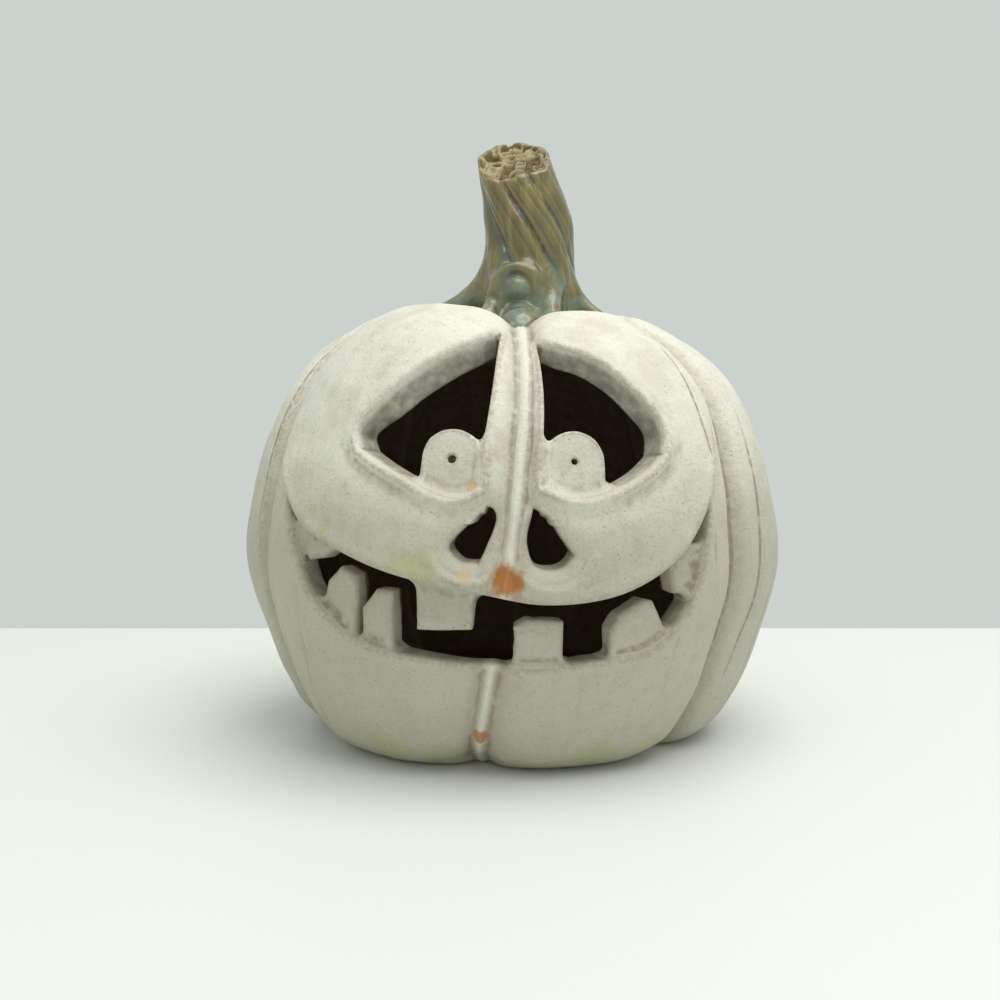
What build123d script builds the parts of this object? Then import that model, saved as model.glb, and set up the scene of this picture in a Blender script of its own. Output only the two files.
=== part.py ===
from build123d import *
import math
import os

# Ceramic pumpkin lantern: millimetres, +Z up, the carved face looks towards -Y, the foot stands on z = 0.
# The body is a lobed shell given by its distance from one centre point along an azimuth and an elevation.
# Azimuth is 0 at the front and grows towards +X; elevation is 0 level and 90 straight up.

# Driving dimensions of the body
CENTRE_HEIGHT = 62.0
WALL = 10.0
FOOT_THICKNESS = 9.0
BASE_OPENING_DIAMETER = 76.0
LOBE_DEPTH = 5.0
GROOVE_DEPTH = 2.5
GROOVE_WIDTH = 5.0
INNER_LOBE_SHARE = 0.45
CROWN_RADIUS = 9.0
CROWN_FADE = 3.5
CROWN_RUN_OUT = 1.5

# Radius and height along a lobe crest, from the foot over the shoulder to the crown
CREST_PROFILE = [
    (60, 0), (67.5, 5), (74, 15), (82, 36), (87, 58), (85.3, 76), (80, 96),
    (70.5, 115), (60, 126), (50, 132), (39, 136), (31, 135), (22, 131.5), (0, 130),
]

# Azimuth of each groove near the crown, at half height and near the foot
GROOVES = [
    (3.5, -0.5, -10.5), (62, 55.5, 51), (98, 98, 96), (138, 138, 138),
    (178, 178, 178), (215, 215, 215), (250, 250, 250), (280, 289.5, 286),
]
GROOVE_TOP_ELEVATION = 60.0
GROOVE_LOW_ELEVATION = -45.0

# How far each lobe's shoulder stands above the common crest line, starting right of the front groove
SHOULDER_SWELL = [0.5, -1.5, 0, 0.5, -0.5, 0, 0.5, 3.0]
SWELL_FROM_ELEVATION = 25.0
SWELL_FULL_ELEVATION = 55.0

# Limits of the searches for a place on the surface
LOWEST_ELEVATION = -80.0
SEARCH_STEPS = 40

# Where section curves take their points: shares of a lobe's width, and shares of the climb to the crown
LOBE_SHARES = [0, 0.07, 0.18, 0.33, 0.5, 0.67, 0.82, 0.93]
CLIMB_SHARES = [0, 0.06, 0.15, 0.26, 0.37, 0.48, 0.58, 0.67, 0.75, 0.82, 0.88, 0.94, 1]

# Carved openings. An outline is a loop of curves; each curve runs on to the first point of the next one.
# Its points are azimuth and height on the outer surface, and every cut narrows towards an apex on the axis
CUT_NEAR = 15.0
CUT_FAR = 125.0
EYE_APEX_HEIGHT = 85.0
NOSE_APEX_HEIGHT = 75.0
MOUTH_APEX_HEIGHT = 42.0
LEFT_EYE = [
    [(-7, 87), (-6.6, 98), (-5.6, 110)],
    [(-4.5, 130.2), (-12.4, 127.5), (-20.2, 123), (-29, 113.5), (-35, 101.5)],
    [(-33, 96.5), (-28, 93), (-20.2, 88.2), (-11, 84.6)],
]
RIGHT_EYE = [
    [(5.6, 87.5), (6.2, 98), (7, 110)],
    [(7.6, 127), (13.5, 125.6), (21, 122), (28.8, 112.5), (33, 101)],
    [(31.5, 95), (26.5, 90.3), (20, 86.3), (12, 84.2)],
]
LEFT_NOSTRIL = [
    [(-5.5, 82), (-4.3, 80.6), (-5.6, 70), (-7, 65.6), (-10.2, 66), (-12.5, 69.8), (-9.4, 76.2)],
]
RIGHT_NOSTRIL = [
    [(3.9, 80.8), (5.6, 80.4), (8.9, 73.2), (11.2, 68), (9.5, 64.8), (3.8, 65), (2.6, 70)],
]
MOUTH = [
    [
        (-57, 89), (-51, 81), (-46, 74.5), (-36, 68.6), (-24, 63),
        (-8, 58), (6, 54.7), (22, 58.3), (32, 66.3), (39, 77),
    ],
    [
        (46, 90), (42.8, 76), (38.5, 57), (30, 40.8), (14, 37),
        (-1, 35.7), (-18, 38), (-34, 42.5), (-44, 54), (-50.5, 70),
    ],
]

# Iris discs: azimuth and height of each centre
DISC_DIAMETER = 17.4
DISC_THICKNESS = 7.0
DISC_SET_BACK = 2.0
DISC_LEAN = 17.0
DISC_LUG_WIDTH = 7.0
DISC_LUG_REACH = 5.0
LEFT_DISC = (-13.3, 94.3)
RIGHT_DISC = (12.7, 93.6)
LEFT_PINHOLE_DIAMETER = 2.5
RIGHT_PINHOLE_DIAMETER = 1.9
BLIND_PINHOLE_DEPTH = 4.0

# Teeth: how far each stands behind the face of the wall, its lean, and its outline of azimuth and height
TOOTH_THICKNESS = 7.0
TOOTH_BACK_SHARE = 0.9
TOOTH_LEAST_SET_BACK = 0.6
TEETH = {
    "upper_front_tooth": (3.5, 0, [(-20, 46), (-8.3, 46.5), (-7.5, 62), (-20, 65)]),
    "lower_middle_tooth": (2.4, -8, [(-0.3, 33), (10.3, 33), (9.8, 49), (2.5, 49.8), (-0.3, 47.5)]),
    "lower_right_tooth": (
        3.6, -6, [(19.5, 34), (34, 38), (33, 44), (29, 53.5), (26.5, 54.5), (21.5, 50.5), (19.5, 46)],
    ),
    "right_corner_tooth": (4.2, 0, [(34, 55), (44, 53), (46, 66), (38, 70), (33, 63)]),
    "lower_left_outer_tooth": (
        4.6, -3, [(-44, 46), (-34.7, 42), (-33.2, 55), (-33.7, 60.5), (-37.5, 62.5), (-41.5, 58)],
    ),
    "lower_left_inner_tooth": (4.2, -4, [(-33.2, 39), (-25.5, 38), (-25, 57), (-29, 57), (-32.6, 51)]),
    "upper_left_corner_tooth": (3.5, 4, [(-52, 82), (-39, 74), (-39, 67.5), (-43, 64), (-47, 63), (-51, 71)]),
}

# Stem: height of each section's centre, its offsets in x and y, mean radius, rib depth
STEM_SECTIONS = [
    (124, 3.5, 2, 21, 3.5),
    (131, 4.5, 2, 18, 3.2),
    (138, 5.5, 1.5, 14.8, 2.4),
    (150, 5.8, 1, 13.3, 1.8),
    (163, 4.5, 1, 13.0, 1.6),
    (175, 1.5, 1, 11.8, 1.6),
    (194, -1.2, 2, 11.2, 1.8),
]
STEM_RIBS = 6
STEM_TWIST = 75.0
STEM_POINTS_PER_RIB = 6
STEM_END_HEIGHT = 184.5
STEM_END_TILT = 30.0
STEM_END_TURN = -12.0
STEM_CUT_SIZE = 80.0


def point_at(azimuth, radius, height):
    angle = math.radians(azimuth)
    return Vector(radius * math.sin(angle), -radius * math.cos(angle), height)


def smooth_share(value, start, end):
    share = min(max((value - start) / (end - start), 0), 1)
    return share * share * (3 - 2 * share)


def crest_distance(elevation):
    """Distance of the crest line from the centre, by a cubic curve through the profile's points."""
    marks = [math.degrees(math.atan2(z - CENTRE_HEIGHT, r)) for r, z in CREST_PROFILE]
    values = [math.hypot(r, z - CENTRE_HEIGHT) for r, z in CREST_PROFILE]
    last = len(marks) - 1

    def slope(i):
        low = max(i - 1, 0)
        high = min(i + 1, last)
        return (values[high] - values[low]) / (marks[high] - marks[low])

    i = 0
    while i < last - 1 and elevation > marks[i + 1]:
        i += 1
    span = marks[i + 1] - marks[i]
    t = (elevation - marks[i]) / span
    start = (2 * t**3 - 3 * t**2 + 1) * values[i] + (t**3 - 2 * t**2 + t) * span * slope(i)
    end = (3 * t**2 - 2 * t**3) * values[i + 1] + (t**3 - t**2) * span * slope(i + 1)
    return start + end


def groove_azimuths(elevation):
    """Azimuth of every groove at one elevation: each groove wanders along a parabola."""
    s = (elevation - GROOVE_LOW_ELEVATION) / (GROOVE_TOP_ELEVATION - GROOVE_LOW_ELEVATION)
    s = min(max(s, 0), 1)
    return [
        low * (1 - s) * (1 - 2 * s) + middle * 4 * s * (1 - s) + top * s * (2 * s - 1)
        for top, middle, low in GROOVES
    ]


def lobe_span(lobe, elevation):
    grooves = groove_azimuths(elevation)
    start = grooves[lobe]
    end = grooves[(lobe + 1) % len(grooves)]
    return start, end if end > start else end + 360


def lobe_drop(lobe, share, elevation):
    """Depth of the surface below the crest line, at a share of the lobe's width."""
    start, end = lobe_span(lobe, elevation)
    radius = crest_distance(elevation) * math.cos(math.radians(elevation))
    to_groove = math.radians(min(share, 1 - share) * (end - start)) * radius
    drop = LOBE_DEPTH * abs(2 * share - 1) ** 3 + GROOVE_DEPTH * math.exp(-((to_groove / GROOVE_WIDTH) ** 2))
    swell = SHOULDER_SWELL[lobe] * smooth_share(elevation, SWELL_FROM_ELEVATION, SWELL_FULL_ELEVATION)
    fade = smooth_share(radius, CROWN_RADIUS, CROWN_FADE * CROWN_RADIUS)
    return (drop - swell * math.sin(math.pi * share)) * fade


def surface_point(lobe, share, elevation, inset, drop_share):
    start, end = lobe_span(lobe, elevation)
    distance = crest_distance(elevation) - inset - drop_share * lobe_drop(lobe, share, elevation)
    angle = math.radians(elevation)
    azimuth = start + share * (end - start)
    return point_at(azimuth, distance * math.cos(angle), CENTRE_HEIGHT + distance * math.sin(angle))


def elevation_at_height(lobe, share, height, inset, drop_share):
    """Elevation at which the lower half of the surface reaches a height."""
    low = LOWEST_ELEVATION
    high = 0.0
    for step in range(SEARCH_STEPS):
        middle = (low + high) / 2
        if surface_point(lobe, share, middle, inset, drop_share).Z > height:
            high = middle
        else:
            low = middle
    return high


def lobed_solid(bottom, inset, drop_share):
    """Closed lobed body from a flat bottom to a small flat disc at the crown."""
    stations = [(lobe, share) for lobe in range(len(GROOVES)) for share in LOBE_SHARES]
    starts = [elevation_at_height(lobe, share, bottom, inset, drop_share) for lobe, share in stations]
    crown_height = CREST_PROFILE[-1][1] - inset
    top = 90 - math.degrees(math.atan2(CROWN_RUN_OUT * CROWN_RADIUS, crown_height - CENTRE_HEIGHT))
    sections = []
    for climb in CLIMB_SHARES:
        points = []
        for (lobe, share), start in zip(stations, starts):
            elevation = start + climb * (top - start)
            points.append(surface_point(lobe, share, elevation, inset, drop_share))
        sections.append(Wire([Edge.make_spline(points, periodic=True)]))
    crown_points = []
    for lobe, share in stations:
        start, end = lobe_span(lobe, 90)
        crown_points.append(point_at(start + share * (end - start), CROWN_RADIUS, crown_height))
    sections.append(Wire([Edge.make_spline(crown_points, periodic=True)]))
    return Solid.make_loft(sections, ruled=False)


def outer_radius(azimuth, height):
    """Radius of the outer surface at an azimuth and a height, above the foot and below the shoulder."""
    radius = max(r for r, z in CREST_PROFILE)
    for step in range(SEARCH_STEPS):
        elevation = math.degrees(math.atan2(height - CENTRE_HEIGHT, radius))
        lobe, share = lobe_and_share(azimuth, elevation)
        distance = crest_distance(elevation) - lobe_drop(lobe, share, elevation)
        radius = 0.5 * radius + 0.5 * distance * math.cos(math.radians(elevation))
    return radius


def lobe_and_share(azimuth, elevation):
    for lobe in range(len(GROOVES)):
        start, end = lobe_span(lobe, elevation)
        past = (azimuth - start) % 360
        if past < end - start:
            return lobe, past / (end - start)
    return 0, 0.0


def cut_points(points, apex_height, distance):
    """Points of the wall seen from the apex, laid on the upright plane at a distance in front of it."""
    on_plane = []
    for azimuth, height in points:
        on_wall = point_at(azimuth, outer_radius(azimuth, height), height)
        scale = distance / -on_wall.Y
        on_plane.append(Vector(on_wall.X * scale, -distance, apex_height + (height - apex_height) * scale))
    return on_plane


def opening_cutter(outline, apex_height):
    """Solid that narrows from far in front of the wall to the apex on the body's axis."""
    wires = []
    for distance in (CUT_NEAR, CUT_FAR):
        if len(outline) == 1:
            edges = [Edge.make_spline(cut_points(outline[0], apex_height, distance), periodic=True)]
        else:
            nexts = outline[1:] + outline[:1]
            runs = [curve + following[:1] for curve, following in zip(outline, nexts)]
            edges = [Edge.make_spline(cut_points(run, apex_height, distance)) for run in runs]
        wires.append(Wire(edges))
    return Solid.make_loft(wires, ruled=True)


def make_shell():
    body = lobed_solid(0, 0, 1) - lobed_solid(FOOT_THICKNESS, WALL, INNER_LOBE_SHARE)
    body -= Cylinder(BASE_OPENING_DIAMETER / 2, 3 * FOOT_THICKNESS)
    for outline in (LEFT_EYE, RIGHT_EYE):
        body -= opening_cutter(outline, EYE_APEX_HEIGHT)
    for outline in (LEFT_NOSTRIL, RIGHT_NOSTRIL):
        body -= opening_cutter(outline, NOSE_APEX_HEIGHT)
    return body - opening_cutter(MOUTH, MOUTH_APEX_HEIGHT)


def wall_plane(azimuth, height, set_back, lean):
    """Plane behind the outer surface: z points outwards, tipped up by the lean, and x runs along the wall."""
    radius = outer_radius(azimuth, height) - set_back
    outward = point_at(azimuth, 1, 0)
    upright = Plane(point_at(azimuth, radius, height), x_dir=outward.rotate(Axis.Z, 90), z_dir=outward)
    return upright * Rot(-lean, 0, 0)


def make_disc(place, pinhole_diameter, pinhole_depth, bridge_side):
    """Iris disc with two clay lugs: one to the nose bridge and one to the lower lid."""
    azimuth, height = place
    radius = DISC_DIAMETER / 2
    front = wall_plane(azimuth, height, DISC_SET_BACK, DISC_LEAN)
    lug_length = radius + DISC_LUG_REACH
    sketch = Circle(radius)
    sketch += Pos(bridge_side * lug_length / 2, 0) * Rectangle(lug_length, DISC_LUG_WIDTH)
    sketch += Pos(0, -lug_length / 2) * Rectangle(DISC_LUG_WIDTH, lug_length)
    disc = extrude(front * sketch, -DISC_THICKNESS)
    return disc - extrude(front * Circle(pinhole_diameter / 2), -pinhole_depth)


def make_tooth(set_back, lean, outline):
    """Clay block with drafted sides: its back is a little smaller than its front."""
    azimuth = sum(a for a, height in outline) / len(outline)
    middle = sum(height for a, height in outline) / len(outline)
    front = wall_plane(azimuth, middle, set_back, lean)
    back = front * Pos(0, 0, -TOOTH_THICKNESS)
    corners = []
    for corner_azimuth, height in outline:
        radius = outer_radius(corner_azimuth, height) - set_back
        corners.append((radius * math.sin(math.radians(corner_azimuth - azimuth)), height - middle))
    face = make_face(Polyline(corners, close=True))
    return loft([front * face, back * scale(face, TOOTH_BACK_SHARE)])


def make_stem():
    """Ribbed stub with left-handed ribs, lofted up a leaning line and cut off at a slant.

    The ribs are lofted right-handed, which keeps the loft sound, and the loft is then mirrored.
    """
    count = STEM_RIBS * STEM_POINTS_PER_RIB
    low = STEM_SECTIONS[0][0]
    high = STEM_SECTIONS[-1][0]
    wires = []
    for height, x, y, radius, rib in STEM_SECTIONS:
        turn = STEM_TWIST * (height - low) / (high - low)
        points = []
        for i in range(count):
            angle = 360 * i / count
            wave = radius + rib * math.cos(math.radians(STEM_RIBS * (angle - turn)))
            points.append(point_at(angle, wave, height) + Vector(-x, y, 0))
        wires.append(Wire([Edge.make_spline(points, periodic=True)]))
    stem = Solid.make_loft(wires, ruled=False).mirror(Plane.YZ)
    end = Plane.XY.offset(STEM_END_HEIGHT) * Rot(STEM_END_TILT, 0, STEM_END_TURN)
    return stem - end * Pos(0, 0, STEM_CUT_SIZE / 2) * Box(STEM_CUT_SIZE, STEM_CUT_SIZE, STEM_CUT_SIZE)


def main():
    shell = make_shell()
    nodes = {"pumpkin_shell": shell}
    nodes["stem"] = make_stem() - lobed_solid(0, 0, 1)
    left_disc = make_disc(LEFT_DISC, LEFT_PINHOLE_DIAMETER, BLIND_PINHOLE_DEPTH, 1)
    right_disc = make_disc(RIGHT_DISC, RIGHT_PINHOLE_DIAMETER, DISC_THICKNESS, -1)
    nodes["left_eye_disc"] = left_disc - shell
    nodes["right_eye_disc"] = right_disc - shell
    tooth_limit = lobed_solid(0, TOOTH_LEAST_SET_BACK, 1)
    for name, (set_back, lean, outline) in TEETH.items():
        nodes[name] = (make_tooth(set_back, lean, outline) & tooth_limit) - shell
    os.makedirs("parts", exist_ok=True)
    for name, shape in nodes.items():
        solid = max(shape.solids(), key=lambda piece: piece.volume)
        solid.label = name
        export_step(solid, f"parts/{name}.step")


main()
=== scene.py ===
import math

import bmesh
import bpy
import numpy as np
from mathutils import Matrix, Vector


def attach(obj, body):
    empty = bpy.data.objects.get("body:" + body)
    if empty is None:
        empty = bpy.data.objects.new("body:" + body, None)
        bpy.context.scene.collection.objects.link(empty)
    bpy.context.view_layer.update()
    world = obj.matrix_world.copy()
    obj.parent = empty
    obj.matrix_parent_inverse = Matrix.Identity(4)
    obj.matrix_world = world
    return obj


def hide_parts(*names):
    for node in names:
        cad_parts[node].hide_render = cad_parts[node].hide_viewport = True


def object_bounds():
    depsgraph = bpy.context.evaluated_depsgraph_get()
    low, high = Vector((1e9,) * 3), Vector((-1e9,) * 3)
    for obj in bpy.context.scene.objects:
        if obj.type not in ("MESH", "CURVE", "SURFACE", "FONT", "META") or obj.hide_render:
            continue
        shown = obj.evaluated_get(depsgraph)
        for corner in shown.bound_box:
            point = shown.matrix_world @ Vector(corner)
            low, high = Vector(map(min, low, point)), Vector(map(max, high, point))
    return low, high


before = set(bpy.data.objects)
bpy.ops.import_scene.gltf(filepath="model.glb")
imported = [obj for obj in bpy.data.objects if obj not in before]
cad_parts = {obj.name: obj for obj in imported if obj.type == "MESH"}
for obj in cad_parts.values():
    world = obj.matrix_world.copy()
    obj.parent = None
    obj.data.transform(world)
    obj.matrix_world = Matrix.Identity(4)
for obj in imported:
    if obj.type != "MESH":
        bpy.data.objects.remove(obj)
CAD_BOX = [list(corner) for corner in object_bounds()]

# Shapes are worked out in millimetres in the CAD frame, and the meshes are written in metres.
MM = 0.001
BODY = "root"

# Body shape, as in the CAD --------
CENTRE_HEIGHT = 62.0
WALL = 10.0
FOOT_THICKNESS = 9.0
BASE_OPENING_RADIUS = 38.0
LOBE_DEPTH = 5.0
INNER_LOBE_SHARE = 0.45
CROWN_RADIUS = 9.0
CROWN_FADE = 3.5
CREST_PROFILE = [
    (60, 0), (67.5, 5), (74, 15), (82, 36), (87, 58), (85.3, 76), (80, 96),
    (70.5, 115), (60, 126), (50, 132), (39, 136), (31, 135), (22, 131.5), (0, 130),
]
# Each groove's azimuth near the crown, at half height and near the foot
GROOVES = [
    (3.5, -0.5, -10.5), (62, 55.5, 51), (98, 98, 96), (138, 138, 138),
    (178, 178, 178), (215, 215, 215), (250, 250, 250), (280, 289.5, 286),
]
GROOVE_DEPTH = 2.5
GROOVE_WIDTH = 5.0
GROOVE_TOP_ELEVATION = 60.0
GROOVE_LOW_ELEVATION = -45.0
SHOULDER_SWELL = [0.5, -1.5, 0, 0.5, -0.5, 0, 0.5, 3.0]
SWELL_FROM_ELEVATION = 25.0
SWELL_FULL_ELEVATION = 55.0

# For each groove: depth and half width of its valley, height and half width of the vein that stands in it
CREASES = [
    (2.6, 5.2, 2.3, 1.5), (4.0, 3.6, 1.5, 1.0), (3.4, 3.2, 1.1, 1.0), (3.4, 3.4, 1.1, 1.0),
    (3.4, 3.4, 1.2, 1.0), (3.4, 3.4, 1.1, 1.0), (3.4, 3.2, 1.2, 1.0), (4.0, 3.6, 1.5, 1.0),
]
VEIN_WANDER = 0.9
# Extra fine creases on the lobes: share of the lobe's width, depth in millimetres
FOLDS = [(0.16, 0.9), (0.34, 0.45), (0.63, 0.4), (0.84, 0.9)]

# Carved face, as in the CAD --------
EYE_APEX = 85.0
NOSE_APEX = 75.0
MOUTH_APEX = 42.0
LEFT_EYE = [
    [(-7, 87), (-6.6, 98), (-5.6, 110)],
    [(-4.5, 130.2), (-12.4, 127.5), (-20.2, 123), (-29, 113.5), (-35, 101.5)],
    [(-33, 96.5), (-28, 93), (-20.2, 88.2), (-11, 84.6)],
]
RIGHT_EYE = [
    [(5.6, 87.5), (6.2, 98), (7, 110)],
    [(7.6, 127), (13.5, 125.6), (21, 122), (28.8, 112.5), (33, 101)],
    [(31.5, 95), (26.5, 90.3), (20, 86.3), (12, 84.2)],
]
LEFT_NOSTRIL = [
    [(-5.5, 82), (-4.3, 80.6), (-5.6, 70)],
    [(-7, 65.6), (-10.2, 66), (-12.5, 69.8), (-9.4, 76.2)],
]
RIGHT_NOSTRIL = [
    [(3.9, 80.8), (5.6, 80.4), (8.9, 73.2)],
    [(11.2, 68), (9.5, 64.8), (3.8, 65), (2.6, 70)],
]
UPPER_LIP = [
    (-57, 89), (-51, 81), (-46, 74.5), (-36, 68.6), (-24, 63),
    (-8, 58), (6, 54.7), (22, 58.3), (32, 66.3), (39, 77),
]
LOWER_LIP = [
    (46, 90), (42.8, 76), (38.5, 57), (30, 40.8), (14, 37),
    (-1, 35.7), (-18, 38), (-34, 42.5), (-44, 54), (-50.5, 70),
]
# The line that the upper face plate ends on, from above one mouth corner to above the other
PLATE_LINE = [
    (-66, 108), (-60, 96), (-53, 80), (-45, 66), (-32, 57), (-12, 48),
    (8, 46), (26, 50), (38, 66), (43, 82), (49, 98), (52, 110),
]

# Small helpers on arrays --------


def smooth_share(value, start, end):
    share = np.clip((value - start) / (end - start), 0, 1)
    return share * share * (3 - 2 * share)


def smooth_min(a, b, width):
    blend = np.maximum(width - np.abs(a - b), 0) / width
    return np.minimum(a, b) - blend * blend * width / 4


def smooth_max(a, b, width):
    return -smooth_min(-a, -b, width)


def bump(distance, half_width):
    return np.exp(-((distance / half_width) ** 2))


def curve_through(marks, values, at):
    """Cubic curve through values at rising marks, read at other places."""
    slopes = np.gradient(values, marks, axis=0)
    i = np.clip(np.searchsorted(marks, at, side="right") - 1, 0, len(marks) - 2)
    span = marks[i + 1] - marks[i]
    t = (at - marks[i]) / span
    if values.ndim > 1:
        span = span[:, None]
        t = t[:, None]
    start = (2 * t**3 - 3 * t**2 + 1) * values[i] + (t**3 - 2 * t**2 + t) * span * slopes[i]
    return start + (3 * t**2 - 2 * t**3) * values[i + 1] + (t**3 - t**2) * span * slopes[i + 1]


LATTICE_CELLS = 32


def lattice_noise(points, size, seed):
    """Smooth noise from -1 to 1 that repeats; size is a cell's edge in millimetres."""
    lattice = np.random.default_rng(seed).uniform(-1, 1, (LATTICE_CELLS,) * 3).astype(np.float32)
    place = points / size
    cell = np.floor(place).astype(np.int32)
    t = place - cell
    t = t * t * (3 - 2 * t)
    total = np.zeros(points.shape[0])
    for corner in range(8):
        step = np.array([corner & 1, corner >> 1 & 1, corner >> 2])
        weight = np.prod(np.where(step, t, 1 - t), axis=1)
        x, y, z = ((cell + step) % LATTICE_CELLS).T
        total += weight * lattice[x, y, z]
    return total


# Lobed surface --------
PROFILE = np.array(CREST_PROFILE, float)
PROFILE_ANGLES = np.degrees(np.arctan2(PROFILE[:, 1] - CENTRE_HEIGHT, PROFILE[:, 0]))
PROFILE_DISTANCES = np.hypot(PROFILE[:, 0], PROFILE[:, 1] - CENTRE_HEIGHT)


def crest_distance(elevation):
    return curve_through(PROFILE_ANGLES, PROFILE_DISTANCES, np.maximum(elevation, PROFILE_ANGLES[0]))


def groove_azimuths(elevation):
    s = np.clip((elevation - GROOVE_LOW_ELEVATION) / (GROOVE_TOP_ELEVATION - GROOVE_LOW_ELEVATION), 0, 1)
    return [
        low * (1 - s) * (1 - 2 * s) + middle * 4 * s * (1 - s) + top * s * (2 * s - 1)
        for top, middle, low in GROOVES
    ]


def lobe_parts(azimuth, elevation):
    """For each point: smooth drop of its lobe, and arc distance to and number of its nearest groove."""
    radius = crest_distance(elevation) * np.cos(np.radians(elevation))
    grooves = groove_azimuths(elevation)
    drop = np.zeros_like(azimuth)
    nearest = np.full_like(azimuth, 1e3)
    number = np.zeros(azimuth.shape, int)
    for lobe, start in enumerate(grooves):
        follower = (lobe + 1) % len(grooves)
        width = (grooves[follower] - start) % 360
        past = (azimuth - start) % 360
        share = past / width
        inside = past < width
        swell = SHOULDER_SWELL[lobe] * smooth_share(elevation, SWELL_FROM_ELEVATION, SWELL_FULL_ELEVATION)
        swell = swell * np.sin(math.pi * np.clip(share, 0, 1))
        drop = np.where(inside, LOBE_DEPTH * np.abs(2 * share - 1) ** 3 - swell, drop)
        for groove, gap in ((lobe, past), (follower, width - past)):
            arc = np.radians(gap) * radius
            closer = inside & (arc < nearest)
            nearest = np.where(closer, arc, nearest)
            number = np.where(closer, groove, number)
    fade = smooth_share(radius, CROWN_RADIUS, CROWN_FADE * CROWN_RADIUS)
    return drop * fade, nearest, number, fade


def read_between(table, row, column):
    """Values of a table between its entries, by bilinear interpolation."""
    i = np.clip(row.astype(int), 0, table.shape[0] - 2)
    j = np.clip(column.astype(int), 0, table.shape[1] - 2)
    u = column - j
    v = row - i
    low = table[i, j] * (1 - u) + table[i, j + 1] * u
    high = table[i + 1, j] * (1 - u) + table[i + 1, j + 1] * u
    return low * (1 - v) + high * v


class SphereMap:
    """Values over azimuth and elevation, worked out once on a fine grid and then read by interpolation."""

    COLUMNS = 2400
    ROWS = 900
    LOWEST = -62.0
    HIGHEST = 90.0

    def __init__(self, make):
        azimuths = np.arange(self.COLUMNS) * 360 / self.COLUMNS
        elevations = np.linspace(self.LOWEST, self.HIGHEST, self.ROWS)
        azimuth, elevation = np.meshgrid(azimuths, elevations)
        values = make(azimuth.ravel(), elevation.ravel()).reshape(azimuth.shape)
        self.table = np.hstack([values, values[:, :1]]).astype(np.float32)

    def read(self, azimuth, elevation):
        column = (azimuth % 360) * self.COLUMNS / 360
        row = (np.clip(elevation, self.LOWEST, self.HIGHEST) - self.LOWEST) / (self.HIGHEST - self.LOWEST)
        return read_between(self.table, row * (self.ROWS - 1), column)


def angles_of(points):
    radius = np.hypot(points[:, 0], points[:, 1])
    azimuth = np.degrees(np.arctan2(points[:, 0], -points[:, 1]))
    elevation = np.degrees(np.arctan2(points[:, 2] - CENTRE_HEIGHT, radius))
    return azimuth, elevation, radius


def turn_from_front(azimuth):
    """The azimuth between -180 and 180 degrees."""
    return (azimuth + 180) % 360 - 180


def points_at(azimuth, elevation, distance):
    flat = distance * np.cos(np.radians(elevation))
    turn = np.radians(azimuth)
    height = CENTRE_HEIGHT + distance * np.sin(np.radians(elevation))
    return np.stack([flat * np.sin(turn), -flat * np.cos(turn), height], axis=1)


def plain_distance(azimuth, elevation):
    """The CAD's outer surface."""
    drop, nearest, _, fade = lobe_parts(azimuth, elevation)
    return crest_distance(elevation) - drop - GROOVE_DEPTH * bump(nearest, GROOVE_WIDTH) * fade


PLAIN = SphereMap(plain_distance)

# Outlines wrapped on the wall --------
WRAP_RADIUS = 85.0
FIRST_RADIUS = 80.0
SEARCH_STEPS = 40


def wrap(azimuth, height, radius, apex):
    """Unrolled place on the wall, seen from the apex on the axis: arc length and rise at the wrap radius."""
    return np.radians(azimuth) * WRAP_RADIUS, (height - apex) * WRAP_RADIUS / radius


def wall_radius(azimuth, height):
    """Radius of the plain wall at each azimuth and height, found by stepping halfway to it."""
    radius = np.full(azimuth.shape, FIRST_RADIUS)
    for _ in range(SEARCH_STEPS):
        elevation = np.degrees(np.arctan2(height - CENTRE_HEIGHT, radius))
        radius = (radius + PLAIN.read(azimuth, elevation) * np.cos(np.radians(elevation))) / 2
    return radius


def wrapped_curve(points, apex):
    azimuth, height = np.array(points, float).T
    return np.stack(wrap(azimuth, height, wall_radius(azimuth, height), apex), axis=1)


def fine_curve(points, step=0.8):
    """Points along the cubic curve through a few wrapped points."""
    lengths = np.concatenate([[0], np.cumsum(np.linalg.norm(np.diff(points, axis=0), axis=1))])
    count = max(int(lengths[-1] / step), 8)
    return curve_through(lengths, points, np.linspace(0, lengths[-1], count + 1))


def fine_outline(curves, apex):
    """Closed outline from curves that each run on to the first point of the next."""
    parts = []
    for curve, following in zip(curves, curves[1:] + curves[:1]):
        parts.append(fine_curve(wrapped_curve(curve + following[:1], apex))[:-1])
    return np.vstack(parts)


def distance_to_line(places, line, closed):
    """Distance to a polyline, the side of it as +1 on the left, and the share of its length there."""
    ends = np.roll(line, -1, axis=0) if closed else line[1:]
    starts = line if closed else line[:-1]
    best = np.full(len(places), 1e9)
    side = np.ones(len(places))
    along = np.zeros(len(places))
    for i, (start, end) in enumerate(zip(starts, ends)):
        run = end - start
        rel = places - start
        t = np.clip(rel @ run / (run @ run), 0, 1)
        gap = np.hypot(rel[:, 0] - t * run[0], rel[:, 1] - t * run[1])
        closer = gap < best
        best = np.where(closer, gap, best)
        side = np.where(closer, np.sign(run[0] * rel[:, 1] - run[1] * rel[:, 0]), side)
        along = np.where(closer, (i + t) / len(starts), along)
    return best, side, along


def inside_outline(places, outline):
    crossings = np.zeros(len(places), bool)
    for (ax, ay), (bx, by) in zip(outline, np.roll(outline, -1, axis=0)):
        if ay == by:
            continue
        spans = (places[:, 1] < ay) != (places[:, 1] < by)
        crossings ^= spans & (places[:, 0] < ax + (places[:, 1] - ay) * (bx - ax) / (by - ay))
    return crossings


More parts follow.
